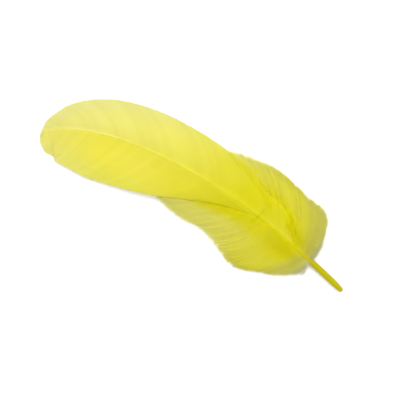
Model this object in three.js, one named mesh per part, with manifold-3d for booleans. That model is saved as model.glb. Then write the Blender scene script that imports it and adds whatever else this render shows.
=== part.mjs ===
// A dyed goose quill feather lying on a flat surface, its hollow side down. Millimetres, +Z up.
// +X runs from the quill's tip to the vane's tip, and +Y is the feather's left seen from above.
// Shaft, vanes and down grew as one piece, so they are joined into one solid.
import * as THREE from 'three';
import { mergeVertices } from 'three/addons/utils/BufferGeometryUtils.js';
import Module from 'manifold-3d';

const wasm = await Module();
wasm.setup();

// ---- Shaft ----
// The shaft's middle line from the quill's tip to the vane's tip, as x, y and height.
const SHAFT_LINE = [
  [0, 0, 1.5], [10, -3.1, 1.5], [21, -6.3, 2.2], [43.2, -12.2, 4.4], [65.7, -16.8, 6.8],
  [87.5, -19.6, 8.5], [109.5, -20.6, 8.9], [132.4, -19.2, 7.6], [151.9, -14.9, 4.8],
  [165.7, -9.0, 1.9], [171.4, -4.9, 0.5],
];
// The shaft's diameter, as distance along it and diameter.
const SHAFT_DIAMETERS = [
  [0, 1.5], [1, 2.5], [3, 3.0], [12, 3.3], [24, 3.1], [34, 2.5], [50, 1.9], [75, 1.5],
  [105, 1.1], [135, 0.8], [160, 0.5], [178, 0.3],
];
const SHAFT_SIDES = 10;
const SHAFT_STEPS = 36;
const SHAFT_CROWDING = 1.25;      // above 1, the steps are closer together at the quill

// ---- Vanes ----
// Each outer edge, as distance along the shaft and distance out from it.
const RIGHT_VANE_EDGE = [
  [86, 18.2], [99, 19.0], [118, 19.7], [136, 18.9], [151, 16.7], [161, 13.1], [166.5, 10.2],
  [172, 6], [176.8, 0.8], [179.2, -3],
];
const LEFT_VANE_EDGE = [
  [86, 10.4], [95, 15], [105, 18.7], [116, 21.3], [130, 23.5], [145, 23.9], [160, 21.2],
  [169, 18], [175.5, 14.5], [178.6, 9.8], [179.4, 4],
];
const VANE_BASES = [57, 176.5];   // where the first and the last barbs leave the shaft
const VANE_THICKNESS = 0.55;
const BARB_RIDGE = 0.4;           // how much thicker every second barb row is
const BARB_NOTCH = 0.03;          // the share by which every second barb row falls short
const BARB_ROWS = 54;
const BARB_STEPS = 4;
const BARB_SWEEP = 0.35;          // how much a barb curves towards the vane's tip

// ---- Cross camber: how the vanes and the down sink from the shaft to their edges ----
const EDGE_SINK = 0.72;           // the share of the shaft's height that is lost at SINK_WIDTH
const SINK_WIDTH = 25;
const SINK_POWER = 1.7;

// ---- Down ----
// The rim of the down, as distance along the shaft and distance out from it.
const RIGHT_DOWN_RIM = [
  [23, 7], [28, 16], [31, 23], [37, 24], [47, 23.6], [56, 24.6], [63, 24.9], [72, 23.3],
  [80, 20.8], [87, 18.4], [92, 17.6],
];
const LEFT_DOWN_RIM = [
  [20.5, 7], [25.7, 11.8], [33.7, 18], [42.7, 23.6], [50, 27.4], [56, 27.3], [62, 25.2],
  [71, 22.8], [84, 22.2], [96, 23.2], [103, 20.5],
];
const DOWN_BASES = { right: [23, 60], left: [23, 70] };
const RIM_HEIGHT = 1.7;           // height of the down's middle layer at its rim
const PAD_ROWS = 14;
const PAD_STEPS = 3;
const PAD_REACH = [-0.04, 0.5];   // the pad crosses the shaft and goes this share to the rim
const PAD_THICKNESS = [2.0, 0.9]; // next to the shaft and at its outer edge
const LOCKS_PER_SIDE = 28;
const LOCK_STEPS = 5;
const LOCK_START = 0.16;          // where a lock leaves the pad, as a share of the way to the rim
const LOCK_SECTION = [[1, 0], [0, 1], [-1, 0], [0, -1]];      // across and up, a flat diamond
const LOCK_FULLNESS = [0.45, 0.85, 1, 0.95, 0.62, 0.1];       // from its start to its tip
const LOCK_WIDTH = 4.0;
const FULL_LOCK_LENGTH = 22;      // locks shorter than this are also thinner
const THINNEST_LOCK = 0.45;
const LOOK_AHEAD = 0.05;          // the share of a lock over which its direction is read
const LOCK_THICKNESS = 1.1;
const LOCK_SPREAD = 1.4;          // how far the upper locks' tips stand above the rim
const LOCK_ARCH = 1.6;            // how far the upper locks arch up between pad and tip
const LOCK_SAG = 1.5;             // how far the lower locks hang down between pad and tip
const LOCK_REST = 0.3;            // height of the lower locks where they lie on the surface
const LOCK_LENGTHS = [1, 0.93, 0.98, 0.9, 1, 0.95, 0.91];     // shares of the way to the rim

const YELLOW = 0xe1dc3c;
const FLOOR_BLOCK = [600, 600, 40];  // trims what presses on the surface

// ---- Helpers ----
const { lerp, clamp } = THREE.MathUtils;
const shaftLine = new THREE.CatmullRomCurve3(SHAFT_LINE.map((p) => new THREE.Vector3(...p)));
shaftLine.arcLengthDivisions = 1000;
const SHAFT_LENGTH = shaftLine.getLength();

/** The value at s of a broken line through pairs of distance and value. */
function alongPairs(pairs, s) {
  const next = clamp(pairs.findIndex((pair) => pair[0] >= s), 1, pairs.length - 1);
  const [s0, v0] = pairs[next - 1];
  const [s1, v1] = pairs[next];
  return lerp(v0, v1, clamp((s - s0) / (s1 - s0), 0, 1));
}

/** A smooth curve through pairs of distance along the shaft and distance out from it. */
function edgeCurve(pairs) {
  return new THREE.CatmullRomCurve3(pairs.map(([s, d]) => new THREE.Vector3(s, d, 0)));
}

/** Middle line point, forward direction and level sideways direction at distance s. */
function shaftFrame(s) {
  const u = clamp(s / SHAFT_LENGTH, 0, 1);
  const forward = shaftLine.getTangentAt(u);
  const point = shaftLine.getPointAt(u).addScaledVector(forward, s - u * SHAFT_LENGTH);
  const left = new THREE.Vector3(-forward.y, forward.x, 0).normalize();
  return { point, forward, left };
}

/** The feather's middle surface, s along the shaft and d to the left of it. */
function surfacePoint(s, d) {
  const { point, left } = shaftFrame(s);
  const sink = EDGE_SINK * Math.min(1, Math.abs(d) / SINK_WIDTH) ** SINK_POWER;
  const height = Math.max(point.z, VANE_THICKNESS / 2) * (1 - sink);
  const place = point.clone().addScaledVector(left, d);
  place.z = Math.max(height, VANE_THICKNESS / 2);
  return place;
}

/** A closed solid from rings of points that all have the same number of corners. */
function solidFromRings(rings) {
  const corners = rings[0].length;
  const positions = rings.flat().flatMap((p) => [p.x, p.y, p.z]);
  const faces = [];
  for (let ring = 0; ring < rings.length - 1; ring += 1) {
    for (let corner = 0; corner < corners; corner += 1) {
      const a = ring * corners + corner;
      const b = ring * corners + ((corner + 1) % corners);
      faces.push(a, b, a + corners, b, b + corners, a + corners);
    }
  }
  // Each end is closed by a strip between the ring's two halves, so that it may be bent.
  const last = (rings.length - 1) * corners;
  for (let near = 0; near < corners / 2 - 1; near += 1) {
    const far = corners - 1 - near;
    for (const [a, b, c] of [[near, far, near + 1], [far, far - 1, near + 1]]) {
      faces.push(a, b, c, last + a, last + c, last + b);
    }
  }
  const geometry = new THREE.BufferGeometry();
  geometry.setAttribute('position', new THREE.Float32BufferAttribute(positions, 3));
  geometry.setIndex(faces);
  return toManifold(geometry);
}

/** A closed sheet from rows of points, each with a middle and half the sheet's thickness. */
function solidFromSheet(rows) {
  return solidFromRings(rows.map((row) => {
    const top = row.map(({ middle, half }) => middle.clone().setZ(middle.z + half));
    const bottom = row.map(({ middle, half }) => middle.clone().setZ(middle.z - half));
    return [...top, ...bottom.reverse()];
  }));
}

/** A closed three.js geometry as a solid that can be joined and cut. */
function toManifold(geometry) {
  const bare = geometry.clone();
  bare.deleteAttribute('normal');
  bare.deleteAttribute('uv');
  const merged = mergeVertices(bare);
  return new wasm.Manifold(new wasm.Mesh({
    numProp: 3,
    vertProperties: new Float32Array(merged.attributes.position.array),
    triVerts: new Uint32Array(merged.index.array),
  }));
}

/** A solid back as a three.js geometry with flat-shaded faces. */
function toGeometry(solid) {
  const mesh = solid.getMesh();
  const geometry = new THREE.BufferGeometry();
  geometry.setAttribute('position', new THREE.Float32BufferAttribute(mesh.vertProperties, 3));
  geometry.setIndex(Array.from(mesh.triVerts));
  geometry.computeVertexNormals();
  return geometry;
}

// ---- Shaft: a tapering rod, blunt at the quill and hair-thin at the vane's tip ----
function makeShaft() {
  const rings = [];
  for (let step = 0; step <= SHAFT_STEPS; step += 1) {
    const s = SHAFT_LENGTH * (step / SHAFT_STEPS) ** SHAFT_CROWDING;
    const { point, forward, left } = shaftFrame(s);
    const up = new THREE.Vector3().crossVectors(forward, left);
    const radius = alongPairs(SHAFT_DIAMETERS, s) / 2;
    const ring = [];
    for (let side = 0; side < SHAFT_SIDES; side += 1) {
      const angle = (side / SHAFT_SIDES) * 2 * Math.PI;
      ring.push(point.clone()
        .addScaledVector(left, radius * Math.cos(angle))
        .addScaledVector(up, radius * Math.sin(angle)));
    }
    rings.push(ring);
  }
  return solidFromRings(rings);
}

// ---- Vanes: a thin sheet across the shaft, ridged along its barbs ----
/** A point of a vane, t of the way along the barb from its base on the shaft to its tip. */
function barbPoint(side, base, tip, t) {
  const forward = (1 - BARB_SWEEP) * t + BARB_SWEEP * t * t;
  const outward = (1 + BARB_SWEEP) * t - BARB_SWEEP * t * t;
  return surfacePoint(lerp(base, tip.x, forward), side * tip.y * outward);
}

function makeVanes() {
  const edges = [[1, edgeCurve(LEFT_VANE_EDGE)], [-1, edgeCurve(RIGHT_VANE_EDGE)]];
  const rows = [];
  for (let row = 0; row <= BARB_ROWS; row += 1) {
    const share = row / BARB_ROWS;
    const base = lerp(...VANE_BASES, share);
    const reach = row % 2 ? 1 - BARB_NOTCH : 1;
    const ridge = row % 2 ? 0 : BARB_RIDGE;
    const [left, right] = edges.map(([side, edge]) => {
      const tip = edge.getPointAt(share);
      const points = [];
      for (let step = 1; step <= BARB_STEPS; step += 1) {
        points.push(barbPoint(side, base, tip, (reach * step) / BARB_STEPS));
      }
      return points;
    });
    const middles = [...left.reverse(), surfacePoint(base, 0), ...right];
    rows.push(middles.map((middle) => ({ middle, half: (VANE_THICKNESS + ridge) / 2 })));
  }
  return solidFromSheet(rows);
}

// ---- Down: on each side a soft pad next to the shaft, and loose locks that leave it ----
/** A point of the down, t of the way from its base on the shaft to its tip at the rim. */
function downPoint(side, base, tip, rimHeight, t) {
  const { point } = shaftFrame(base);
  return barbPoint(side, base, tip, t).setZ(lerp(point.z, rimHeight, t));
}

function makeDownPad(side, rimCurve, [firstBase, lastBase]) {
  const rows = [];
  for (let row = 0; row <= PAD_ROWS; row += 1) {
    const share = row / PAD_ROWS;
    const base = lerp(firstBase, lastBase, share);
    const tip = rimCurve.getPointAt(share);
    const points = [];
    for (let step = 0; step <= PAD_STEPS; step += 1) {
      const half = lerp(...PAD_THICKNESS, step / PAD_STEPS) / 2;
      const t = lerp(...PAD_REACH, step / PAD_STEPS);
      const middle = downPoint(side, base, tip, RIM_HEIGHT, t);
      points.push({ middle, half });
    }
    rows.push(side > 0 ? points.reverse() : points);
  }
  return solidFromSheet(rows);
}

function makeLock(side, base, tip, upper) {
  const rimHeight = upper ? RIM_HEIGHT + LOCK_SPREAD : LOCK_REST;
  const arch = upper ? LOCK_ARCH : -LOCK_SAG;
  const length = Math.hypot(tip.x - base, tip.y);
  const size = clamp(length / FULL_LOCK_LENGTH, THINNEST_LOCK, 1);
  const rings = [];
  for (let step = 0; step <= LOCK_STEPS; step += 1) {
    const share = step / LOCK_STEPS;
    const t = lerp(LOCK_START, 1, share);
    const middle = downPoint(side, base, tip, rimHeight, t);
    middle.z = Math.max(LOCK_REST, middle.z + arch * Math.sin(Math.PI * share));
    const ahead = downPoint(side, base, tip, rimHeight, t + LOOK_AHEAD);
    const along = ahead.sub(middle).setZ(0);
    const across = new THREE.Vector3(-along.y, along.x, 0).normalize();
    const fullness = LOCK_FULLNESS[step] * size;
    const ring = LOCK_SECTION.map(([w, h]) => middle.clone()
      .addScaledVector(across, (w * fullness * LOCK_WIDTH) / 2)
      .setZ(middle.z + (h * fullness * LOCK_THICKNESS) / 2));
    rings.push(ring);
  }
  return solidFromRings(rings);
}

function makeDown(side, rim, [firstBase, lastBase]) {
  const rimCurve = edgeCurve(rim);
  const pieces = [makeDownPad(side, rimCurve, [firstBase, lastBase])];
  for (let count = 0; count < LOCKS_PER_SIDE; count += 1) {
    const share = (count + 0.5) / LOCKS_PER_SIDE;
    const base = lerp(firstBase, lastBase, share);
    const rimPoint = rimCurve.getPointAt(share);
    const length = LOCK_LENGTHS[count % LOCK_LENGTHS.length];
    const tip = new THREE.Vector3(lerp(base, rimPoint.x, length), rimPoint.y * length, 0);
    pieces.push(makeLock(side, base, tip, count % 2 === 0));
  }
  return pieces;
}

// ---- The whole feather ----
function makeFeather() {
  const pieces = [
    makeShaft(),
    makeVanes(),
    ...makeDown(1, LEFT_DOWN_RIM, DOWN_BASES.left),
    ...makeDown(-1, RIGHT_DOWN_RIM, DOWN_BASES.right),
  ];
  const joined = pieces.reduce((whole, piece) => whole.add(piece));
  // The outer skin is the largest body; what else there is are gaps sealed between locks.
  const grown = joined.decompose().sort((a, b) => b.volume() - a.volume())[0];
  const floor = new THREE.BoxGeometry(...FLOOR_BLOCK);
  floor.translate(0, 0, -FLOOR_BLOCK[2] / 2);
  return toGeometry(grown.subtract(toManifold(floor)));
}

const feather = new THREE.Mesh(
  makeFeather(),
  new THREE.MeshStandardMaterial({ color: YELLOW, roughness: 0.75, metalness: 0 }),
);
feather.name = 'feather';

// The origin is the middle of the feather's box, on the surface it lies on.
feather.geometry.computeBoundingBox();
const middle = feather.geometry.boundingBox.getCenter(new THREE.Vector3());
feather.geometry.translate(-middle.x, -middle.y, -feather.geometry.boundingBox.min.z);

const group = new THREE.Group();
group.add(feather);
export default group;
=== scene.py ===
"""A dyed yellow goose quill feather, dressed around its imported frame.

The file is laid out as an add-on: the sizes and colours that a user would change are properties,
each group of like pieces has an operator, and a panel in the sidebar lists them.
Shapes are worked out in millimetres along and across the shaft, then written in metres.
"""

import math

import bmesh
import bpy
import numpy as np
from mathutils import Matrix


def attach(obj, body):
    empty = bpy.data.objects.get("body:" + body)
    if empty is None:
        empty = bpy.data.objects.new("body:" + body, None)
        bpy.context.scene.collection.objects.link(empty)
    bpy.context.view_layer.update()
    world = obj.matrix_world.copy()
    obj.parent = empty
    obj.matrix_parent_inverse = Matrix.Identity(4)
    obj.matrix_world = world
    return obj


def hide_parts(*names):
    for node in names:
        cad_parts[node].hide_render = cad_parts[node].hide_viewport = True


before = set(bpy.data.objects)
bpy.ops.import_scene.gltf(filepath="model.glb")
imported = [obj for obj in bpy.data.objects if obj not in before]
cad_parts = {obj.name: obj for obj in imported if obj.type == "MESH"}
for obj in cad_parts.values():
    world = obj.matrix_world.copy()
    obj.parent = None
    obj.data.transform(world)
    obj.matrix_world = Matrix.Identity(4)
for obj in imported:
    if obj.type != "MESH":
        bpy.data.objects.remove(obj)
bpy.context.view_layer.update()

bl_info = {
    "name": "Goose Quill Feather",
    "version": (1, 0, 0),
    "blender": (4, 5, 0),
    "location": "3D View > Sidebar > Feather",
    "description": "Builds a dyed goose feather with its shaft, vanes, down and a plain stage",
    "category": "Add Mesh",
}

MM = 0.001
RIGHT, LEFT = -1, 1

# ---- The feather's lines, in millimetres from the quill's tip ----
# +X runs to the vane's tip and +Y is the feather's left seen from above.
BOX_MIDDLE = (85.63, -13.62)
SHAFT_LINE = [
    (0, 0, 1.5), (10, -3.1, 1.5), (21, -6.3, 2.2), (43.2, -12.2, 4.4), (65.7, -16.8, 6.8),
    (87.5, -19.6, 8.5), (109.5, -20.6, 8.9), (132.4, -19.2, 7.6), (151.9, -14.9, 4.8),
    (165.7, -9.0, 1.9), (171.4, -4.9, 0.5),
]
# Distance along the shaft and the shaft's diameter there.
SHAFT_DIAMETERS = [
    (0, 1.0), (0.3, 1.7), (0.9, 2.3), (2.5, 2.8), (7, 3.2), (14, 3.3), (22, 3.1), (28, 2.8),
    (34, 2.45), (42, 2.15), (52, 1.9), (66, 1.65), (84, 1.4), (105, 1.1), (127, 0.85),
    (146, 0.6), (162, 0.4), (172, 0.25), (178, 0.12),
]
QUILL_WIDTH = max(diameter for _, diameter in SHAFT_DIAMETERS)

# ---- Shaft ----
SHAFT_SIDES = 20
SHAFT_RINGS = 220
RING_CROWDING = 1.2        # above 1 the rings stand closer together at the quill's end
CAP_INSET = 0.35           # share of the radius by which each end's rim is set in
QUILL_HOLLOW = 0.006       # how far the quill's end is pushed in, on a rod of length one
GROOVE_DEPTH = 0.3         # share of the radius that the groove below takes away
GROOVE_WIDTH = 0.5         # in radians round the shaft
GROOVE_START = (26, 40)    # the stretch along the shaft over which it deepens

# ---- Barbs ----
# Each row is one barb: where it leaves the shaft, how far along the shaft its tip lies and how
# far out. Web barbs are hooked into a closed vane, and down barbs are loose to the rim.
RIGHT_WEB = [
    (31, 34, 1.9), (35, 42, 7.6), (41, 50, 11.8), (49, 60, 12.2), (56, 69, 14.4),
    (64, 80, 17.0), (73, 91, 18.4), (84, 104, 19.2), (98, 119, 19.7), (113, 134, 19.1),
    (127, 146, 17.7), (139, 156, 15.0), (150, 164, 11.8), (160, 170.5, 7.6),
    (168, 175.6, 3.2), (174, 178.8, -0.9), (176.8, 179.5, -3.3),
]
LEFT_WEB = [
    (56.5, 58.6, 0.9), (59.5, 66, 3.3), (64, 75, 6.4), (69, 83, 9.6), (75, 92, 13.6),
    (82, 101, 17.4), (90, 110, 20.2), (100, 121, 22.5), (112, 134, 23.8),
    (124, 147, 23.7), (136, 158, 21.6), (147, 167, 18.7), (156, 173, 15.8),
    (164, 177, 12.6), (171, 179, 8.8), (175, 179.7, 5.4), (176.8, 179.5, 3.4),
]
RIGHT_DOWN = [
    (22.3, 22.5, 6), (22.8, 25.5, 13), (23.7, 29, 20), (25.5, 35, 24), (29, 45, 23.7),
    (34, 55, 24.6), (40, 63.5, 24.9), (47, 72, 23.4), (54, 80.5, 20.9), (61, 88, 18.4),
    (67, 95, 18.2),
]
LEFT_DOWN = [
    (22.3, 20.5, 7), (23.2, 25, 11.5), (25, 31.5, 17), (27.5, 38, 21), (31, 44, 24.2),
    (36, 50.5, 27), (42, 57, 27), (49, 64, 25), (56, 73, 22.8), (63, 83, 22.3),
    (70, 92, 23), (77, 100, 21.8), (83, 107, 19.6),
]
BARB_SWEEP = 0.35          # how much a barb curves towards the vane's tip

# ---- Camber: how vanes and down sink from the shaft to their edges ----
EDGE_SINK = 0.72           # the share of the shaft's height that is lost at SINK_WIDTH
SINK_WIDTH = 25
SINK_POWER = 1.7
LEAST_HEIGHT = 0.16

# ---- Vane ----
VANE_SEED = {RIGHT: 22, LEFT: 24}
WEB_COLUMNS = 22
WEB_THICKNESS = 0.09
RIM_ANGLE = 60             # a sharper edge than this isn't shaded as a smooth one
RIDGE_HEIGHT = 0.08        # barbs stand this far above and below the web's middle
RIDGE_START = 1.2          # distance from the shaft over which they rise to that
RIDGE_FADE = 0.6           # share of that height that is lost at the vane's edge
SEAT_HEIGHT = 0.72         # share of the shaft's radius at which the web meets it
SEAT_WIDTH = 2.6
# Where barbs leave the shaft, and how far their ends stand past the closed web there.
FRINGE = ((85, 110), (0.12, 0.55))
# Where barbs leave the shaft, and how unevenly their ends stand out there.
FRINGE_RAGGED = {RIGHT: ((30, 60, 85), (0.7, 0.6, 0.14)), LEFT: ((56, 80, 95), (0.25, 0.2, 0.14))}
# Low waves of the web: radians for each millimetre along and across, phase and height.
RIPPLES = [(0.11, 0.31, 0.0, 0.10), (0.23, -0.42, 1.3, 0.07), (0.55, 0.35, 2.1, 0.035)]
RIPPLE_START = 8           # distance from the shaft over which they rise
TONE_CLUSTER = 15          # neighbouring barbs that took the dye alike
TONE_SHARES = (0.5, 0.7)   # how much a barb's own tone and its neighbours' tone count
SPLIT_REACH = 4.5          # how far along the shaft the barbs beside a split give way
SPLIT_OPENING = 1.3        # above 1 a split starts narrow and opens towards the edge
SPLIT_HAIR = 0.02          # share of a grid cell by which a split's two sides part
# A split: where its barbs leave the shaft, the share along them where it starts, its width.
LEFT_SPLITS = [(156.5, 0.66, 0.9), (76.0, 0.9, 0.4), (96.5, 0.88, 0.5), (122.0, 0.92, 0.4)]
RIGHT_SPLITS = [
    (40.5, 0.85, 0.3), (50.5, 0.8, 0.9), (57.0, 0.88, 0.3), (90.0, 0.9, 0.4), (133.0, 0.88, 0.4),
    (158.0, 0.84, 0.4),
]

# ---- Down ----
DOWN_SEED = 101            # of the first side and layer, and the others count on from it
BARB_STEPS = 20
BARB_WIDTH = (0.19, 0.06)  # at the shaft and at the tip
BARB_CRIMP = 0.1           # size of the barbs' small waves
BARBULE_LENGTH = (0.9, 2.6)       # least and most, and a barb's middle has the longest
BARBULE_WIDTH = 0.065
SPARSE_UNTIL = 24.5        # before this distance along the shaft the down is thin
SPARSE_SHARE = 0.45        # share of the barbules that grow there
NEIGHBOURS = 22            # barbs over which height and waves change
ROOT_SPREAD = 0.06         # how unevenly barbs leave the shaft
TIP_SPREAD = 0.7           # how unevenly their tips lie along it
LENGTH_SPREAD = 0.025      # how unevenly long they are, as a share of their length
COURSE_STRETCH = 1.05      # a barb's course is this many times as long as the straight way
# The number of barbs, the barbules' spacing and share of their full length, heights above the
# surface at the rim, rise of the arch on the way, the height over the closed web (negative is
# under it) and the share of a barb that lies there before it comes out.
LAYERS = {
    "lower": {
        "barbs": {LEFT: 120, RIGHT: 145}, "spacing": 0.2, "length": 1.0,
        "rim": (0.9, 1.5), "arch": (0.5, 1.1),
        "gap": {LEFT: -0.3, RIGHT: -0.18}, "tuck": {LEFT: (0.07, 0.07), RIGHT: (0.07, 0.07)},
    },
    "upper": {
        "barbs": {LEFT: 150, RIGHT: 170}, "spacing": 0.165, "length": 0.72,
        "rim": (1.2, 1.8), "arch": (0.8, 1.3),
        "gap": {LEFT: -0.16, RIGHT: 0.17}, "tuck": {LEFT: (0.03, 0.08), RIGHT: (0.08, 0.36)},
    },
}
UNDER_WEB_ARCH = {LEFT: 0.25, RIGHT: 0.6}   # share of the arch left where the web covers barbs
TUCKED_FROM = 0.2          # a barb of which the web covers this share keeps the full gap to it
GAP_SPREAD = 0.04          # how unevenly barbs keep it
PHASE_SPREAD = 0.4         # in radians, how far a barb's waves are off its neighbours'
VARIETY = (0.14, 0.15)     # how much barbs differ together with their neighbours and alone
WISPS = 0.08               # share of the barbs that stray from their neighbours
WISP_SWAY = 0.5            # how much wider than the others they sway
# A barb's waves: least and most size sideways and upwards, millimetres for each radian of the
# sideways wave, and how many times as fast its overtone, its upward wave and its crimp run.
SWAY = (0.12, 0.34)
RISE = (0.04, 0.14)
SWAY_STRETCH = 6
OVERTONE_RATE = 2.3
RISE_RATE = 0.9
CRIMP_RATE = 8
RIM_DROP = 0.9             # below 1 a barb sinks sooner from the shaft to the rim
# Barbules: degrees from their barb at its root and their spread, degrees by which they close up
# towards its tip, spread of the tilt out of its plane, spread of their direction, and the
# shortest and longest share of their length.
BARBULE_LEAN = (50, 12)
BARBULE_CLOSING = 16
BARBULE_TILT = 30
BARBULE_SCATTER = 0.12
BARBULE_UNEVEN = (0.7, 1.2)
BARBULE_ROOTS = (0.02, 0.97)      # share of a barb before the first one, and the share they take
BARBULE_JITTER = 0.006            # share of a barb by which they stand off their even places
FLUFF_HEIGHT = 0.03        # barbules stay at least this far above the surface
POINTED_FROM = 0.999       # a strand has no thickness from this share of its length on
# A barb that comes out from the web has this share of its size there, and all of it after that
# share of its free length.
EMERGING = {LEFT: (0.85, 0.05), RIGHT: (0.1, 0.35)}
# Full dye ends at this part of the covered share of a barb, plus this much of its length.
DYE_EDGE = {LEFT: (0.6, 0.1), RIGHT: (1.0, 0.0)}
# One loose barb lies across the shaft: places along and across it, and heights above the rest.
STRAY_BARB = [
    (58.3, 4.6, 1.1), (57.5, 2.6, 1.0), (57.0, 0.6, 0.3), (56.7, -1.4, 0.35), (56.6, -3.2, 0.4),
    (56.8, -4.8, 0.2),
]
STRAY_WIDTH = 0.42
STRAY_FLATNESS = 0.5       # its thickness as a share of its width
STRAY_RISE = 1.2           # distance from the shaft over which it climbs onto it

# ---- Steps for the courses that are worked out ----
LINE_STEPS = 4000
OUTLINE_STEPS = 600
ROOT_STEPS = 400
STRAY_STEPS = 200
COVER_STEPS = 60

# ---- Stage ----
VIEW_WIDTH = 200           # width of the view at the feather, in millimetres
VIEW_HEIGHT = 4            # height above the surface at which the view has that width
VIEW_MIDDLE = (84.4, -9.2)
VIEW_RIGHT = (-0.8956, -0.4449)   # the direction that points right in the view
CAMERA_LENS = 85
SENSOR = 36
FLOOR_REACH = 3            # metres from the middle to the floor's edge
KEY_SIZE = 0.5             # metres across
KEY_PLACE = (0.25, 0.3, 0.7)      # metres to the view's right, to its top and upwards


def linear(red, green, blue):
    """A display colour given as 0 to 255, as Blender's linear colour."""
    shares = [channel / 255 for channel in (red, green, blue)]
    return [c / 12.92 if c <= 0.04045 else ((c + 0.055) / 1.055) ** 2.4 for c in shares]


# ---- Dyes, and painted shade, that the finishes mix in ----
# painted shade that darkens the vanes near the quill
WEB_SHADE_NEAR_QUILL = linear(208, 202, 10)
WEB_CLOUD = linear(250, 246, 170)
WEB_STREAK = linear(205, 195, 20)
# painted shade in the valleys between the barbs' ridges
WEB_VALLEY_SHADE = linear(200, 190, 12)
DOWN_DEEP = linear(236, 229, 0)
DOWN_STREAK = linear(236, 229, 42)
DOWN_PALE = linear(253, 251, 190)
DOWN_NEAR_RIM = linear(214, 208, 100)
DOWN_FAR_RIM = linear(240, 237, 150)
# painted shade of the bare quill on the sparse down beside it: duller, then grey
DOWN_DULL_SHADE = linear(224, 221, 126)
DOWN_GREY_SHADE = linear(208, 207, 168)
STRAY_DYES = (linear(192, 183, 4), linear(212, 204, 8))
HORN_STREAK = linear(165, 152, 4)
# How much fuller a vane is beside the shaft, and from where along the shaft and how far it
# turns pale.
VANE_TONES = {LEFT: (0.2, (0.8, 0.45)), RIGHT: (0.35, (0.5, 0.6))}


# ---- Properties ----
class FeatherSizes(bpy.types.PropertyGroup):
    """Sizes that change how fine the feather is, not how long it is."""

    barb_spacing: bpy.props.FloatProperty(
        name="Barb Spacing", description="Distance between the vane's barbs along the shaft",
        default=0.46 * MM, min=0.3 * MM, unit="LENGTH")
    barbule_length: bpy.props.FloatProperty(
        name="Barbule Length", description="Length of the longest barbules of the down",
        default=BARBULE_LENGTH[1] * MM, min=0.5 * MM, unit="LENGTH")
    quill_width: bpy.props.FloatProperty(
        name="Quill Width", description="Diameter of the bare quill at its thickest",
        default=QUILL_WIDTH * MM, min=1 * MM, unit="LENGTH")


class FeatherColours(bpy.types.PropertyGroup):
    """The dye's colours on each part of the feather."""

    right_vane: bpy.props.FloatVectorProperty(
        name="Right Vane", description="Colour of the right vane's far part",
        subtype="COLOR", min=0, max=1, default=linear(240, 236, 114))
    right_edge: bpy.props.FloatVectorProperty(
        name="Right Edge", description="Paler colour along the right vane's edge",
        subtype="COLOR", min=0, max=1, default=linear(228, 226, 140))
    left_vane: bpy.props.FloatVectorProperty(
        name="Left Vane", description="Colour of the left vane's far part",
        subtype="COLOR", min=0, max=1, default=linear(244, 237, 84))
    left_edge: bpy.props.FloatVectorProperty(
        name="Left Edge", description="Paler colour along the left vane's edge",
        subtype="COLOR", min=0, max=1, default=linear(235, 232, 100))
    vane_tip: bpy.props.FloatVectorProperty(
        name="Vane Tip", description="Pale colour at the feather's tip",
        subtype="COLOR", min=0, max=1, default=linear(237, 233, 158))
    near_quill: bpy.props.FloatVectorProperty(
        name="Near the Quill", description="Fuller colour of the vanes near the quill",
        subtype="COLOR", min=0, max=1, default=linear(227, 221, 18))
    down: bpy.props.FloatVectorProperty(
        name="Down", description="Colour of the loose down",
        subtype="COLOR", min=0, max=1, default=linear(253, 250, 116))
    down_root: bpy.props.FloatVectorProperty(
        name="Down Beside the Shaft", description="Fuller colour of the down's roots",
        subtype="COLOR", min=0, max=1, default=linear(248, 243, 0))
    quill: bpy.props.FloatVectorProperty(
        name="Quill", description="Colour of the bare quill",
        subtype="COLOR", min=0, max=1, default=linear(168, 158, 2))
    rachis: bpy.props.FloatVectorProperty(
        name="Shaft", description="Colour of the shaft between the down",
        subtype="COLOR", min=0, max=1, default=linear(191, 183, 1))
    rachis_far: bpy.props.FloatVectorProperty(
        name="Shaft, Far Part", description="Colour of the shaft between the vanes",
        subtype="COLOR", min=0, max=1, default=linear(214, 205, 54))


class FeatherStage(bpy.types.PropertyGroup):
    """The plain surroundings."""

    floor: bpy.props.FloatVectorProperty(
        name="Floor", description="Colour of the plain floor",
        subtype="COLOR", min=0, max=1, default=(0.95, 0.95, 0.95))
    key_power: bpy.props.FloatProperty(
        name="Key Light", description="Power of the soft light above the feather's right",
        default=3.0, min=0, unit="POWER")
    sky: bpy.props.FloatProperty(
        name="Ambient Light", description="Strength of the even light from all round",
        default=1.1, min=0)


# ---- Curves along and across the shaft ----
def smooth_rows(rows, count):
    """Evenly numbered points on a smooth run through the rows."""
    rows = np.array(rows, float)
    slopes = np.gradient(rows, axis=0)
    at = np.linspace(0, len(rows) - 1, count)
    low = np.minimum(at.astype(int), len(rows) - 2)
    t = (at - low)[:, None]
    start, end = rows[low], rows[low + 1]
    leave, arrive = slopes[low], slopes[low + 1]
    return (
        start * (2 * t**3 - 3 * t**2 + 1) + leave * (t**3 - 2 * t**2 + t)
        + end * (3 * t**2 - 2 * t**3) + arrive * (t**3 - t**2)
    )


LINE = smooth_rows(SHAFT_LINE, LINE_STEPS)
LINE_AT = np.concatenate([[0], np.cumsum(np.linalg.norm(np.diff(LINE, axis=0), axis=1))])
LINE_AHEAD = np.gradient(LINE, LINE_AT, axis=0)
SHAFT_LENGTH = LINE_AT[-1]


def along_line(values, s):
    """Values given at LINE_AT, read at distances s."""
    return np.stack([np.interp(s, LINE_AT, column) for column in values.T], axis=-1)


def shaft_frame(s):
    """Middle points, forward and level left directions at distances s along the shaft."""
    s = np.asarray(s, float)
    inside = np.clip(s, 0, SHAFT_LENGTH)
    forward = along_line(LINE_AHEAD, inside)
    point = along_line(LINE, inside) + forward * (s - inside)[..., None]
    left = np.stack([-forward[..., 1], forward[..., 0], 0 * s], axis=-1)
    return point, forward, left / np.linalg.norm(left, axis=-1, keepdims=True)


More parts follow.
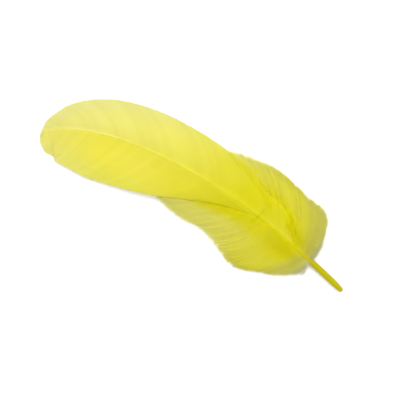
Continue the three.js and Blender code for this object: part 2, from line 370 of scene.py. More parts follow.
def surface_point(s, d):
    """The feather's middle surface, s along the shaft and d to the left of it."""
    point, _, left = shaft_frame(s)
    sink = EDGE_SINK * np.minimum(1, np.abs(d) / SINK_WIDTH) ** SINK_POWER
    place = point + left * np.asarray(d)[..., None]
    place[..., 2] = np.maximum(point[..., 2] * (1 - sink), LEAST_HEIGHT)
    return place


def ripples(s, d):
    """How far low waves lift the closed web, s along the shaft and d out from it."""
    waves = sum(high * np.sin(a * s + b * d + c) for a, b, c, high in RIPPLES)
    return np.clip(d / RIPPLE_START, 0, 1) * waves


def shaft_radius(s):
    """Half the shaft's thickness at distances s along it."""
    at, diameters = np.array(SHAFT_DIAMETERS).T
    return np.interp(s, at, diameters) / 2


def barb_tips(rows, bases):
    """Distances along and across the shaft of the tips of the barbs that leave it at bases."""
    smooth = smooth_rows(rows, OUTLINE_STEPS)
    order = np.maximum.accumulate(smooth[:, 0])
    return np.interp(bases, order, smooth[:, 1]), np.interp(bases, order, smooth[:, 2])


def barb_course(base, tip_s, tip_d, t):
    """Distances along and across the shaft, t of the way along a barb."""
    forward = (1 - BARB_SWEEP) * t + BARB_SWEEP * t**2
    outward = (1 + BARB_SWEEP) * t - BARB_SWEEP * t**2
    return base + (tip_s - base) * forward, tip_d * outward


# ---- Meshes ----
def mesh_points(mesh):
    """All of a mesh's points as an array."""
    points = np.empty(len(mesh.vertices) * 3)
    mesh.vertices.foreach_get("co", points)
    return points.reshape(-1, 3)


def lay_points(mesh, points):
    """Moves a mesh's points to places in millimetres from the quill's tip."""
    placed = (points - np.array([*BOX_MIDDLE, 0])) * MM
    mesh.vertices.foreach_set("co", placed.ravel())
    mesh.update()


def as_mesh(bm, name):
    """A finished bmesh as a new mesh."""
    mesh = bpy.data.meshes.new(name)
    bm.to_mesh(mesh)
    bm.free()
    return mesh


def face_outwards(mesh):
    """Turns all faces of a closed mesh outwards."""
    bm = bmesh.new()
    bm.from_mesh(mesh)
    bmesh.ops.recalc_face_normals(bm, faces=bm.faces)
    bm.to_mesh(mesh)
    bm.free()


def lengthwise_edges(bm):
    """The edges that run from end to end of a rod of length one."""
    return [e for e in bm.edges if abs(e.verts[0].co.z - e.verts[1].co.z) > 0.5]


def modified(mesh, kind, **settings):
    """A mesh with one modifier applied, in place of the mesh that was given."""
    holder = bpy.data.objects.new(mesh.name, mesh)
    bpy.context.scene.collection.objects.link(holder)
    modifier = holder.modifiers.new(kind.title(), kind)
    for name, value in settings.items():
        setattr(modifier, name, value)
    made = bpy.data.meshes.new_from_object(
        holder.evaluated_get(bpy.context.evaluated_depsgraph_get()))
    name = mesh.name
    bpy.data.objects.remove(holder)
    bpy.data.meshes.remove(mesh)
    made.name = name
    return made


def add_piece(mesh, material):
    """Adds a mesh to the scene as a piece that stands for the feather's solid."""
    mesh.materials.clear()
    mesh.materials.append(material)
    piece = bpy.data.objects.new(mesh.name, mesh)
    bpy.context.scene.collection.objects.link(piece)
    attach(piece, "root")
    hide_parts("feather")
    return piece


def add_values(mesh, name, values):
    """Stores one number for each point, which the material reads."""
    layer = mesh.attributes.new(name=name, type="FLOAT", domain="POINT")
    layer.data.foreach_set("value", np.asarray(values, np.float32))


def add_top_map(mesh):
    """A UV map that looks straight down on the feather, for the bake."""
    points = mesh_points(mesh)
    corners = np.empty(len(mesh.loops), np.int32)
    mesh.loops.foreach_get("vertex_index", corners)
    low, high = points.min(axis=0), points.max(axis=0)
    flat = (points[corners, :2] - low[:2]) / (high[:2] - low[:2])
    mesh.uv_layers.new(name="OFBake").data.foreach_set("uv", flat.astype(np.float32).ravel())


# ---- Building the shaft ----
def make_shaft(scale):
    """A tapering rod with a rounded quill end and a groove along the underside."""
    bm = bmesh.new()
    bmesh.ops.create_cone(
        bm, cap_ends=True, segments=SHAFT_SIDES, radius1=1, radius2=1, depth=1)
    bmesh.ops.subdivide_edges(
        bm, edges=lengthwise_edges(bm), cuts=SHAFT_RINGS, use_grid_fill=True)
    caps = [f for f in bm.faces if len(f.verts) == SHAFT_SIDES]
    bmesh.ops.inset_region(bm, faces=caps, thickness=CAP_INSET)
    quill_end = min(caps, key=lambda f: f.calc_center_median().z)
    bmesh.ops.translate(bm, verts=quill_end.verts, vec=(0, 0, QUILL_HOLLOW))
    mesh = as_mesh(bm, "shaft")
    rod = mesh_points(mesh)
    share = np.clip(rod[:, 2] + 0.5, 0, 1)
    s = SHAFT_LENGTH * share**RING_CROWDING
    point, forward, left = shaft_frame(s)
    up = np.cross(forward, left)
    angle = np.arctan2(rod[:, 1], rod[:, 0])
    spread = np.hypot(rod[:, 0], rod[:, 1])
    under = np.exp(-((angle + math.pi / 2) / GROOVE_WIDTH) ** 2)
    groove = GROOVE_DEPTH * under * np.clip(
        (s - GROOVE_START[0]) / (GROOVE_START[1] - GROOVE_START[0]), 0, 1)
    radius = shaft_radius(s) * scale * spread * (1 - groove)
    place = point + left * (radius * np.cos(angle))[:, None]
    place += up * (radius * np.sin(angle))[:, None]
    place[:, 2] = np.maximum(place[:, 2], 0)
    lay_points(mesh, place)
    add_values(mesh, "along", s / SHAFT_LENGTH)
    mesh.shade_smooth()
    add_top_map(mesh)
    return mesh


# ---- Building the vanes ----
def split_offset(base, t, splits):
    """How far along the shaft the barbs give way beside each split."""
    offset = np.zeros_like(t)
    for start, depth, width in splits:
        away = np.abs(base - start) / SPLIT_REACH
        open_share = np.clip((t - depth) / (1 - depth), 0, 1) ** SPLIT_OPENING
        side = np.where(base > start, 1, -1)
        offset += 0.5 * width * side * open_share * np.exp(-away)
    return offset


def make_vane(name, side, rows, splits, spacing):
    """A closed web of ridged barbs on one side of the shaft, split in a few places."""
    random = np.random.default_rng(VANE_SEED[side])
    first, last = rows[0][0], rows[-1][0]
    barbs = int((last - first) / spacing)
    cuts = [1 + 2 * int(barbs * (start - first) / (last - first)) for start, _, _ in splits]
    bm = bmesh.new()
    bmesh.ops.create_grid(bm, x_segments=2 * barbs, y_segments=WEB_COLUMNS, size=0.5)
    for cut, (_, depth, _) in zip(cuts, splits):
        part_barbs(bm, cut / (2 * barbs) - 0.5, depth - 0.5, 0.5 / barbs)
    mesh = as_mesh(bm, name)
    grid = mesh_points(mesh)
    row = (grid[:, 0] + 0.5) * 2 * barbs
    share = grid[:, 1] + 0.5
    base = first + (last - first) * row / (2 * barbs)
    tip_s, tip_d = barb_tips(rows, base)
    crest = 2 * np.abs(row % 2 - 1) - 1
    number = np.clip(((row + 1) // 2).astype(int), 0, barbs)
    length = np.hypot(tip_s - base, tip_d)
    ragged = np.interp(base, *FRINGE_RAGGED[side])
    fringe = np.interp(base, *FRINGE)
    ends = random.normal(0, 1, barbs + 1)[number] * ragged + fringe * 0.5 * (crest - 1)
    t = share * (1 + ends / length)
    placed = [
        (first + (last - first) * cut / (2 * barbs), depth, width)
        for cut, (_, depth, width) in zip(cuts, splits)
    ]
    s, d = barb_course(base, tip_s, tip_d, t)
    s = s + split_offset(base, share, placed)
    place = surface_point(s, side * d)
    ridge = RIDGE_HEIGHT * crest * (1 - RIDGE_FADE * share) * np.minimum(1, d / RIDGE_START)
    seat = SEAT_HEIGHT * shaft_radius(base) * np.exp(-(d / SEAT_WIDTH) ** 2)
    place[:, 2] = np.maximum(place[:, 2] + ripples(s, d), LEAST_HEIGHT) + ridge + seat
    lay_points(mesh, place)
    fine, broad = random.normal(0, 1, (2, barbs + 1))
    broad = np.convolve(broad, np.hanning(TONE_CLUSTER) / 2, "same")
    add_values(mesh, "reach", share)
    add_values(mesh, "along", s / SHAFT_LENGTH)
    own, shared = TONE_SHARES
    add_values(mesh, "tone", (own * fine + shared * broad)[number])
    add_values(mesh, "crest", crest)
    mesh = modified(mesh, "SOLIDIFY", thickness=WEB_THICKNESS * MM, offset=0)
    face_outwards(mesh)
    mesh.shade_smooth()
    mesh.set_sharp_from_angle(angle=math.radians(RIM_ANGLE))
    add_top_map(mesh)
    return mesh


def part_barbs(bm, across, start, cell):
    """Cuts a grid along one line from start outwards and moves the two sides a hair apart."""
    near = cell / 8
    line = [
        e for e in bm.edges
        if all(abs(v.co.x - across) < near and v.co.y > start for v in e.verts)
    ]
    loose = bmesh.ops.split_edges(bm, edges=line)["edges"]
    for vert in {v for e in loose for v in e.verts if v.co.y > start + 1 / WEB_COLUMNS}:
        middle = sum(f.calc_center_median().x for f in vert.link_faces) / len(vert.link_faces)
        vert.co.x += cell * SPLIT_HAIR * (1 if middle > across else -1)


# ---- Building the down ----
def strand_copies(name, sides, cuts, count):
    """A mesh of count pointed strands that stand at the same place, one after the other."""
    bm = bmesh.new()
    bmesh.ops.create_cone(bm, cap_ends=True, segments=sides, radius1=1, radius2=0, depth=1)
    bmesh.ops.subdivide_edges(bm, edges=lengthwise_edges(bm), cuts=cuts, use_grid_fill=True)
    return modified(as_mesh(bm, name), "ARRAY", count=count, use_relative_offset=False)


def strand_grid(mesh, count):
    """Each strand point's share of the way to the tip and its angle, as count rows."""
    local = mesh_points(mesh).reshape(count, -1, 3)
    return local[:, :, 2] + 0.5, np.arctan2(local[:, :, 1], local[:, :, 0])


def unit(vectors):
    """Vectors of length one."""
    return vectors / np.maximum(np.linalg.norm(vectors, axis=-1, keepdims=True), 1e-9)


def drift(random, count):
    """Random numbers about zero that change slowly from one barb to the next."""
    loose = random.normal(0, 1, count + NEIGHBOURS)
    slow = np.convolve(loose, np.hanning(NEIGHBOURS), "valid")[:count]
    return slow / np.std(slow)


class Barbs:
    """The loose barbs of one side and layer, each with its own course and waves."""

    def __init__(self, side, rows, web_rows, layer, seed):
        random = np.random.default_rng(seed)
        count = layer["barbs"][side]
        self.spacing, self.barbule = layer["spacing"], layer["length"]
        self.random = random
        self.side = side
        first, last = rows[0][0], rows[-1][0]
        share = (np.arange(count) + random.uniform(0.3, 0.7, count)) / count
        smooth = smooth_rows(rows, ROOT_STEPS)
        pick = np.interp(share, np.linspace(0, 1, ROOT_STEPS), np.arange(ROOT_STEPS)).astype(int)
        self.base = np.clip(smooth[pick, 0] + random.normal(0, ROOT_SPREAD, count), first, last)
        reach = 1 - np.abs(random.normal(0, LENGTH_SPREAD, count))
        tip_s = smooth[pick, 1] + random.normal(0, TIP_SPREAD, count)
        self.tip_s = self.base + (tip_s - self.base) * reach
        self.tip_d = smooth[pick, 2] * reach
        self.edge = self.web_share(web_rows)
        bare = self.edge < 1
        for name in ("base", "tip_s", "tip_d", "edge"):
            setattr(self, name, getattr(self, name)[bare])
        count = len(self.base)
        tucked = np.clip(self.edge / TUCKED_FROM, 0, 1)
        self.start = np.maximum(self.edge - random.uniform(*layer["tuck"][side], count), 0)
        seat = SEAT_HEIGHT * shaft_radius(self.base)
        gap = layer["gap"][side] + random.normal(0, GAP_SPREAD, count)
        self.gap = seat + (gap - seat) * tucked
        self.rim = self.varied(layer["rim"])
        self.arch = self.varied(layer["arch"]) * (1 + (UNDER_WEB_ARCH[side] - 1) * tucked)
        self.phase = [
            drift(random, count) + random.normal(0, PHASE_SPREAD, count) for _ in range(4)]
        stray = 1 + WISP_SWAY * (random.uniform(0, 1, count) < WISPS) * (tucked < 1)
        self.sway = [self.varied(SWAY) * stray, self.varied(RISE) * stray]
        whole = np.hypot(self.tip_s - self.base, self.tip_d) * COURSE_STRETCH
        self.length = whole * (1 - self.start)

    def varied(self, span):
        """A number for each barb within a span, close to its neighbours' numbers."""
        count = len(self.base)
        together, alone = VARIETY
        share = 0.5 + together * drift(self.random, count)
        share = share + self.random.normal(0, alone, count)
        return span[0] + (span[1] - span[0]) * np.clip(share, 0, 1)

    def web_share(self, web_rows):
        """The share of each barb that the closed web beside the shaft covers."""
        shares = np.linspace(0, 1, COVER_STEPS)[None, :]
        s, d = barb_course(self.base[:, None], self.tip_s[:, None], self.tip_d[:, None], shares)
        edge = smooth_rows(web_rows, OUTLINE_STEPS)
        cover = np.interp(s, np.maximum.accumulate(edge[:, 1]), edge[:, 2], left=0)
        outside = d > cover
        outside[:, 0] |= self.base < web_rows[0][0]
        return np.where(outside.any(axis=1), shares[0][np.argmax(outside, axis=1)], 1)

    def points(self, which, u):
        """Places u of the way along the free part of the barbs which."""
        start = self.start[which]
        t = start + (1 - start) * u
        base, tip_s, tip_d = self.base[which], self.tip_s[which], self.tip_d[which]
        s, d = barb_course(base, tip_s, tip_d, t)
        turns = self.length[which] * u / SWAY_STRETCH
        wave, curl, lift, back = (phase[which] for phase in self.phase)
        sway, rise = (amount[which] for amount in self.sway)
        crimp = BARB_CRIMP * np.sin(CRIMP_RATE * turns + 9 * curl) * np.minimum(1, 8 * u)
        overtone = 0.5 * np.sin(OVERTONE_RATE * turns + curl)
        s = s + sway * (np.sin(turns + wave) + overtone) * u + crimp
        d = d + 0.4 * sway * np.cos(turns + back) * u + 0.6 * crimp
        place = surface_point(s, self.side * d)
        edge, gap = self.edge[which], self.gap[which]
        edge_s, edge_d = barb_course(base, tip_s, tip_d, edge)
        root = surface_point(edge_s, self.side * edge_d)[..., 2] + ripples(edge_s, edge_d) + gap
        out = np.clip((t - edge) / (1 - edge), 0, 1)
        height = root + (self.rim[which] - root) * out**RIM_DROP
        wavy = rise * np.sin(turns * RISE_RATE + lift) * out
        height += self.arch[which] * np.sin(math.pi * out) + wavy
        beside_web = place[..., 2] + ripples(s, d) + gap
        place[..., 2] = np.maximum(np.where(t < edge, beside_web, height), LEAST_HEIGHT)
        return place

    def emerging(self, which, u):
        """The share of their full size that barbs have where they come out beside the web."""
        least, over = EMERGING[self.side]
        return np.where(self.start[which] > 0, np.clip(u / over, least, 1), 1)

    def directions(self, which, t):
        """Unit directions along, sideways and upwards at shares t of the free part."""
        ahead = unit(self.points(which, t + 0.01) - self.points(which, t - 0.01))
        sideways = unit(np.cross(ahead, [0.0, 0.0, 1.0]))
        return ahead, sideways, np.cross(sideways, ahead)


def make_shafts_of_down(barbs):
    """The barbs themselves, as long pointed strands."""
    count = len(barbs.base)
    mesh = strand_copies("down_barbs", sides=4, cuts=BARB_STEPS, count=count)
    t, angle = strand_grid(mesh, count)
    which = np.broadcast_to(np.arange(count)[:, None], t.shape)
    _, sideways, upwards = barbs.directions(which, t)
    reach = barbs.start[which] + (1 - barbs.start[which]) * t
    thick, thin = BARB_WIDTH
    radius = (thick + (thin - thick) * reach) / 2 * (t < POINTED_FROM)
    radius = radius * barbs.emerging(which, t)
    around = sideways * np.cos(angle)[..., None] + upwards * np.sin(angle)[..., None]
    points = barbs.points(which, t) + around * radius[..., None]
    lay_points(mesh, points.reshape(-1, 3))
    return mesh, t.ravel(), which.ravel()


def make_stray_barb():
    """The single loose barb that lies across the shaft."""
    mesh = strand_copies("stray_barb", sides=6, cuts=24, count=1)
    t, angle = (grid[0] for grid in strand_grid(mesh, 1))
    track = smooth_rows(STRAY_BARB, STRAY_STEPS)
    shares = np.linspace(0, 1, STRAY_STEPS)
    s, d, lift = (np.interp(t, shares, column) for column in track.T)
    middle = surface_point(s, d)
    middle[:, 2] += lift + shaft_radius(s) * np.exp(-(d / STRAY_RISE) ** 2)
    _, forward, _ = shaft_frame(s)
    radius = STRAY_WIDTH / 2 * np.sin(math.pi * (0.12 + 0.85 * t)) * (t < POINTED_FROM)
    across = forward * np.cos(angle)[:, None]
    across = across + np.array([0, 0, STRAY_FLATNESS]) * np.sin(angle)[:, None]
    lay_points(mesh, middle + across * radius[:, None])
    mesh.shade_smooth()
    add_top_map(mesh)
    return mesh


def make_barbules(barbs, longest):
    """Thin barbules in two rows along each barb, tilted at random so that they make fluff."""
    random = barbs.random
    thinned = np.where(barbs.base < SPARSE_UNTIL, SPARSE_SHARE, 1)
    numbers = np.maximum((barbs.length * thinned / barbs.spacing).astype(int), 3)
    which = np.repeat(np.arange(len(numbers)), 2 * numbers)
    step = np.concatenate([np.tile(np.arange(n), 2) / n for n in numbers])
    turn = np.concatenate([np.repeat([1, -1], n) for n in numbers])
    count = len(which)
    before, taken = BARBULE_ROOTS
    jitter = random.uniform(-BARBULE_JITTER, BARBULE_JITTER, count)
    root = np.clip(before + taken * step + jitter, 0.01, 0.99)
    ahead, sideways, upwards = barbs.directions(which, root)
    lean = np.radians(random.normal(*BARBULE_LEAN, count) - BARBULE_CLOSING * root)
    tilt = np.radians(random.normal(0, BARBULE_TILT, count)) * barbs.emerging(which, root)
    out = sideways * (turn * np.cos(tilt))[:, None] + upwards * np.sin(tilt)[:, None]
    direction = unit(ahead * np.cos(lean)[:, None] + out * np.sin(lean)[:, None]
                     + random.normal(0, BARBULE_SCATTER, (count, 3)))
    fullness = np.sin(math.pi * (0.1 + 0.84 * root)) ** 0.5
    shortest = BARBULE_LENGTH[0]
    length = (shortest + (longest - shortest) * fullness) * barbs.barbule
    length = length * random.uniform(*BARBULE_UNEVEN, count) * barbs.emerging(which, root)
    mesh = strand_copies("down_barbules", sides=3, cuts=0, count=count)
    t, angle = strand_grid(mesh, count)
    across = unit(np.cross(direction, [0.3, 0.2, 1.0]))
    over = np.cross(across, direction)
    radius = BARBULE_WIDTH / 2 * (t < POINTED_FROM)
    around = across[:, None] * np.cos(angle)[..., None] + over[:, None] * np.sin(angle)[..., None]
    points = (
        barbs.points(which, root)[:, None] + direction[:, None] * (length[:, None] * t)[..., None]
        + around * radius[..., None]
    )
    points[..., 2] = np.maximum(points[..., 2], FLUFF_HEIGHT)
    lay_points(mesh, points.reshape(-1, 3))
    share, owner = (np.broadcast_to(v[:, None], t.shape).ravel() for v in (root, which))
    return mesh, share, owner


def make_down(name, barbs, longest):
    """The loose down of one side and layer: barbs and their barbules in one piece."""
    stems, stem_share, stem_owner = make_shafts_of_down(barbs)
    fluff, fluff_share, fluff_owner = make_barbules(barbs, longest)
    bm = bmesh.new()
    bm.from_mesh(stems)
    bm.from_mesh(fluff)
    mesh = as_mesh(bm, name)
    bpy.data.meshes.remove(stems)
    bpy.data.meshes.remove(fluff)
    tone = barbs.random.normal(0, 1, len(barbs.base))
    owner = np.concatenate([stem_owner, fluff_owner])
    share = np.concatenate([stem_share, fluff_share])
    start = barbs.start[owner]
    reach = start + (1 - start) * share
    part, more = DYE_EDGE[barbs.side]
    edge = part * barbs.edge[owner] + more
    add_values(mesh, "reach", reach)
    add_values(mesh, "loose", np.clip((reach - edge) / (1 - edge), 0, 1))
    add_values(mesh, "stem", np.repeat([1, 0], [len(stem_share), len(fluff_share)]))
    add_values(mesh, "along", barbs.base[owner] / SHAFT_LENGTH)
    add_values(mesh, "tone", tone[owner])
    mesh.shade_flat()
    add_top_map(mesh)
    return mesh


# ---- Materials ----
class Finish:
    """A node material, built one node at a time."""

    def __init__(self, name):
        self.material = bpy.data.materials.new(name)
        self.material.use_nodes = True
        self.tree = self.material.node_tree
        self.tree.nodes.clear()

    def node(self, kind, links=(), **values):
        """Adds a node, sets its own settings and its sockets, and links named sockets."""
        made = self.tree.nodes.new(kind)
        for name, value in values.items():
            setattr(made, name, value)
        for socket, source in dict(links).items():
            target = made.inputs[socket]
            if isinstance(source, bpy.types.NodeSocket):
                self.tree.links.new(source, target)
            else:
                target.default_value = source
        return made

    def value(self, name):
        """A number stored on the mesh's points."""
        return self.node("ShaderNodeAttribute", attribute_name=name).outputs["Fac"]

    def span(self, source, low, high, to_low=0.0, to_high=1.0):
        """A number's range from low to high, as to_low to to_high."""
        return self.node("ShaderNodeMapRange", {
            "Value": source, "From Min": low, "From Max": high,
            "To Min": to_low, "To Max": to_high}, interpolation_type="SMOOTHSTEP").outputs[0]

    def product(self, first, second):
        """Two numbers multiplied."""
        links = {0: first, 1: second}
        return self.node("ShaderNodeMath", links, operation="MULTIPLY").outputs[0]

    def mix(self, share, start, end):
        """Two colours mixed by a share."""
        made = self.node("ShaderNodeMix", data_type="RGBA")
        for socket, source in ((0, share), (6, start), (7, end)):
            if isinstance(source, bpy.types.NodeSocket):
                self.tree.links.new(source, made.inputs[socket])
            elif socket == 0:
                made.inputs[socket].default_value = source
            else:
                made.inputs[socket].default_value = (*source, 1)
        return made.outputs[2]

    def noise(self, scale, detail=3.0, stretch=(1, 1, 1)):
        """A noise pattern on the piece's own coordinates."""
        place = self.node("ShaderNodeTexCoord").outputs["Object"]
        mapping = self.node("ShaderNodeMapping", {"Vector": place, "Scale": stretch})
        return self.node("ShaderNodeTexNoise", {
            "Vector": mapping.outputs[0], "Scale": scale, "Detail": detail}).outputs["Fac"]

    def end(self, surface):
        """Puts the surface shader on the output."""
        self.node("ShaderNodeOutputMaterial", {"Surface": surface})
        return self.material


def barb_finish(name, colour_of, through, roughness, sheen, gloss=0.2):
    """Dyed keratin: a soft surface that lets some light through."""
    finish = Finish(name)
    colour = colour_of(finish)
    body = finish.node("ShaderNodeBsdfPrincipled", {
        "Base Color": colour, "Roughness": roughness, "Sheen Weight": sheen,
        "Sheen Roughness": 0.45, "Specular IOR Level": gloss})
    glow = finish.node("ShaderNodeBsdfTranslucent", {"Color": colour})
    mixed = finish.node("ShaderNodeMixShader", {0: through})
    finish.tree.links.new(body.outputs[0], mixed.inputs[1])
    finish.tree.links.new(glow.outputs[0], mixed.inputs[2])
    return finish.end(mixed.outputs[0])


def vane_finish(name, middle, edge, crease, pale, colours):
    """A vane's colour: full near the quill and the shaft, paler farther out, streaked by barbs,
    with painted shade near the quill and in the valleys between barbs.
    """

    def colour_of(finish):
        reach, along, tone = (finish.value(v) for v in ("reach", "along", "tone"))
        across = finish.mix(finish.span(reach, 0.35, 1.0), middle, edge)
        far = finish.mix(finish.span(along, pale[0], 1.0, 0.0, pale[1]), across, colours.vane_tip)
        lengthwise = finish.mix(finish.span(along, 0.36, 0.75), colours.near_quill, far)
        beside = finish.span(reach, 0.02, 0.3, crease, 0.0)
        fading = finish.product(beside, finish.span(along, 0.74, 0.95, 1.0, 0.0))
        full = finish.mix(fading, lengthwise, colours.near_quill)
        # painted shade: the web turns darker near the quill
        base = finish.mix(finish.span(along, 0.2, 0.42, 0.15, 0.0), full, WEB_SHADE_NEAR_QUILL)
        clouds = finish.span(finish.noise(50.0), 0.35, 0.7, 0.0, 0.07)
        cloudy = finish.mix(clouds, base, WEB_CLOUD)
        streaked = finish.mix(finish.span(tone, -1.5, 1.5, 0.0, 0.11), cloudy, WEB_STREAK)
        # painted shade: the valleys between barbs are darker than the ridges
        valley_shade = finish.span(finish.value("crest"), -1.0, 0.6, 0.14, 0.0)
        return finish.mix(valley_shade, streaked, WEB_VALLEY_SHADE)

    return barb_finish(name, colour_of, through=0.35, roughness=0.55, sheen=0.1)


def down_finish(colours):
    """The down's dye: full at its roots and paler at the rim, with painted shade that makes it
    duller and greyer next to the bare quill.
    """

    def colour_of(finish):
        names = ("reach", "loose", "along", "tone", "stem")
        reach, loose, along, tone, stem = (finish.value(name) for name in names)
        fluff = finish.mix(finish.span(along, 0.17, 0.4, 0.5, 0.0), colours.down, colours.down_root)
        fluff = finish.mix(finish.span(along, 0.26, 0.4, 0.0, 0.35), fluff, DOWN_PALE)
        beside = finish.mix(finish.span(reach, 0.12, 0.35), DOWN_DEEP, colours.down_root)
        root = finish.mix(finish.span(along, 0.2, 0.3), beside, colours.down_root)
        fluff = finish.mix(finish.span(loose, 0.05, 0.42), root, fluff)
        fluff = finish.mix(finish.span(tone, -1.5, 1.5, 0.0, 0.4), fluff, DOWN_STREAK)
        pale = finish.product(stem, finish.span(reach, 0.3, 0.7, 0.0, 0.35))
        base = finish.mix(pale, fluff, DOWN_PALE)
        ends = finish.mix(finish.span(along, 0.18, 0.3), DOWN_NEAR_RIM, DOWN_FAR_RIM)
        rim = finish.mix(finish.span(reach, 0.75, 1.0, 0.0, 0.6), base, ends)
        # painted shade: the sparse down next to the bare quill turns duller and grey
        dull_shade = finish.mix(finish.span(along, 0.128, 0.185, 0.85, 0.0), rim, DOWN_DULL_SHADE)
        return finish.mix(finish.span(along, 0.126, 0.134, 0.9, 0.0), dull_shade, DOWN_GREY_SHADE)

    return barb_finish("dyed_down", colour_of, through=0.15, roughness=0.7, sheen=0.0, gloss=0.05)


def stray_finish():
    """The stray barb's dye, fuller than the vane's under it."""

    def colour_of(finish):
        return finish.mix(finish.span(finish.noise(300.0), 0.3, 0.7, 0.0, 0.5), *STRAY_DYES)

    return barb_finish("dyed_stray_barb", colour_of, through=0.2, roughness=0.5, sheen=0.1)


def shaft_finish(colours):
    """Horn: darker at the bare quill, with fine streaks along it."""
    finish = Finish("dyed_horn")
    along = finish.value("along")
    bare = finish.mix(finish.span(along, 0.1, 0.24), colours.quill, colours.rachis)
    whole = finish.mix(finish.span(along, 0.32, 0.62), bare, colours.rachis_far)
    whole = finish.mix(finish.span(along, 0.66, 0.82, 0.0, 0.6), whole, colours.vane_tip)
    streaks = finish.noise(900.0, 4.0, (0.06, 1, 1))
    colour = finish.mix(finish.span(streaks, 0.35, 0.7, 0.0, 0.25), whole, HORN_STREAK)
    bump = finish.node("ShaderNodeBump", {"Height": streaks, "Strength": 0.15,
                                          "Distance": 0.05 * MM})
    surface = finish.node("ShaderNodeBsdfPrincipled", {
        "Base Color": colour, "Roughness": 0.42, "Specular IOR Level": 0.07,
        "Normal": bump.outputs[0]})
    return finish.end(surface.outputs[0])


def floor_finish(colour):
    """A plain matt floor."""
    finish = Finish("plain_floor")
    surface = finish.node("ShaderNodeBsdfPrincipled", {
        "Base Color": (*colour, 1), "Roughness": 0.9, "Specular IOR Level": 0.1})
    return finish.end(surface.outputs[0])


# ---- Operators ----
class FEATHER_OT_shaft(bpy.types.Operator):
    """Build the quill and the shaft between the vanes."""

    bl_idname = "feather.shaft"
    bl_label = "Shaft"

    def execute(self, context):
        sizes, colours = context.scene.feather_sizes, context.scene.feather_colours
        mesh = make_shaft(sizes.quill_width / MM / QUILL_WIDTH)
        add_piece(mesh, shaft_finish(colours))
        return {"FINISHED"}


class FEATHER_OT_vanes(bpy.types.Operator):
    """Build the closed vane on each side of the shaft."""

    bl_idname = "feather.vanes"
    bl_label = "Vanes"

    def execute(self, context):
        sizes, colours = context.scene.feather_sizes, context.scene.feather_colours
        spacing = sizes.barb_spacing / MM
        vanes = (
            ("left", LEFT, LEFT_WEB, LEFT_SPLITS, colours.left_vane, colours.left_edge),
            ("right", RIGHT, RIGHT_WEB, RIGHT_SPLITS, colours.right_vane, colours.right_edge),
        )
        for side_name, side, rows, splits, middle, edge in vanes:
            name = "vane_" + side_name
            mesh = make_vane(name, side, rows, splits, spacing)
            finish = vane_finish("dyed_" + name, middle, edge, *VANE_TONES[side], colours)
            add_piece(mesh, finish)
        return {"FINISHED"}


class FEATHER_OT_down(bpy.types.Operator):
    """Build the loose down in two layers on each side of the shaft."""

    bl_idname = "feather.down"
    bl_label = "Down"

    def execute(self, context):
        sizes, colours = context.scene.feather_sizes, context.scene.feather_colours
        finish = down_finish(colours)
        longest = sizes.barbule_length / MM
        sides = (("left", LEFT, LEFT_DOWN, LEFT_WEB), ("right", RIGHT, RIGHT_DOWN, RIGHT_WEB))
        seed = DOWN_SEED
        for layer_name, layer in LAYERS.items():
            for side_name, side, rows, web_rows in sides:
                barbs = Barbs(side, rows, web_rows, layer, seed)
                mesh = make_down(f"down_{side_name}_{layer_name}", barbs, longest)
                add_piece(mesh, finish)
                seed += 1
        add_piece(make_stray_barb(), stray_finish())
        return {"FINISHED"}


def look_down_from(place):
    """The turn that points a light at the feather's middle from a place."""
    flat = math.hypot(place[0], place[1])
    return (math.atan2(flat, place[2]), 0, math.atan2(place[1], place[0]) + math.pi / 2)


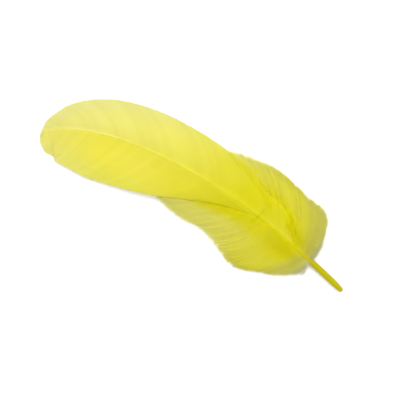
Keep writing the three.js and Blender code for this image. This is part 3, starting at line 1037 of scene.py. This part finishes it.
class FEATHER_OT_stage(bpy.types.Operator):
    """Build the floor, the soft light and the camera that looks down on the feather."""

    bl_idname = "feather.stage"
    bl_label = "Stage"

    def execute(self, context):
        scene, stage = context.scene, context.scene.feather_stage
        bm = bmesh.new()
        bmesh.ops.create_grid(bm, x_segments=1, y_segments=1, size=FLOOR_REACH)
        mesh = as_mesh(bm, "floor")
        mesh.materials.append(floor_finish(stage.floor))
        floor = bpy.data.objects.new("floor", mesh)
        scene.collection.objects.link(floor)

        world = bpy.data.worlds.new("even_light")
        world.use_nodes = True
        background = world.node_tree.nodes["Background"]
        background.inputs["Color"].default_value = (1, 1, 1, 1)
        background.inputs["Strength"].default_value = stage.sky
        scene.world = world

        right = np.array([*VIEW_RIGHT, 0.0])
        up = np.array([-right[1], right[0], 0.0])
        turn = math.atan2(right[1], right[0])
        lamp = bpy.data.lights.new("key", "AREA")
        lamp.shape = "DISK"
        lamp.size = KEY_SIZE
        lamp.energy = stage.key_power
        key = bpy.data.objects.new("key", lamp)
        across, upwards, height = KEY_PLACE
        place = across * right + upwards * up + np.array([0, 0, height])
        key.location = place
        key.rotation_euler = look_down_from(place)
        scene.collection.objects.link(key)

        lens = bpy.data.cameras.new("camera")
        lens.lens = CAMERA_LENS
        lens.sensor_width = SENSOR
        camera = bpy.data.objects.new("camera", lens)
        distance = VIEW_WIDTH * CAMERA_LENS / SENSOR + VIEW_HEIGHT
        middle = np.array(VIEW_MIDDLE) - np.array(BOX_MIDDLE)
        camera.location = np.array([*middle, distance]) * MM
        camera.rotation_euler = (0, 0, turn)
        scene.collection.objects.link(camera)
        scene.camera = camera
        scene.view_settings.view_transform = "Standard"
        return {"FINISHED"}


class FEATHER_PT_panel(bpy.types.Panel):
    """Lists the feather's properties and the operators that build it."""

    bl_idname = "FEATHER_PT_panel"
    bl_label = "Goose Quill Feather"
    bl_space_type = "VIEW_3D"
    bl_region_type = "UI"
    bl_category = "Feather"

    def draw(self, context):
        for name in GROUPS:
            group = getattr(context.scene, name)
            box = self.layout.box()
            for prop in group.__annotations__:
                box.prop(group, prop)
        for operator in OPERATORS:
            self.layout.operator(operator.bl_idname)


GROUPS = {
    "feather_sizes": FeatherSizes,
    "feather_colours": FeatherColours,
    "feather_stage": FeatherStage,
}
OPERATORS = (FEATHER_OT_shaft, FEATHER_OT_vanes, FEATHER_OT_down, FEATHER_OT_stage)


def register():
    for cls in (*GROUPS.values(), *OPERATORS, FEATHER_PT_panel):
        bpy.utils.register_class(cls)
    for name, group in GROUPS.items():
        setattr(bpy.types.Scene, name, bpy.props.PointerProperty(type=group))


def unregister():
    for name in GROUPS:
        delattr(bpy.types.Scene, name)
    for cls in reversed((*GROUPS.values(), *OPERATORS, FEATHER_PT_panel)):
        bpy.utils.unregister_class(cls)


def main():
    """Builds everything."""
    register()
    bpy.ops.feather.shaft()
    bpy.ops.feather.vanes()
    bpy.ops.feather.down()
    bpy.ops.feather.stage()


if __name__ == "__main__":
    main()
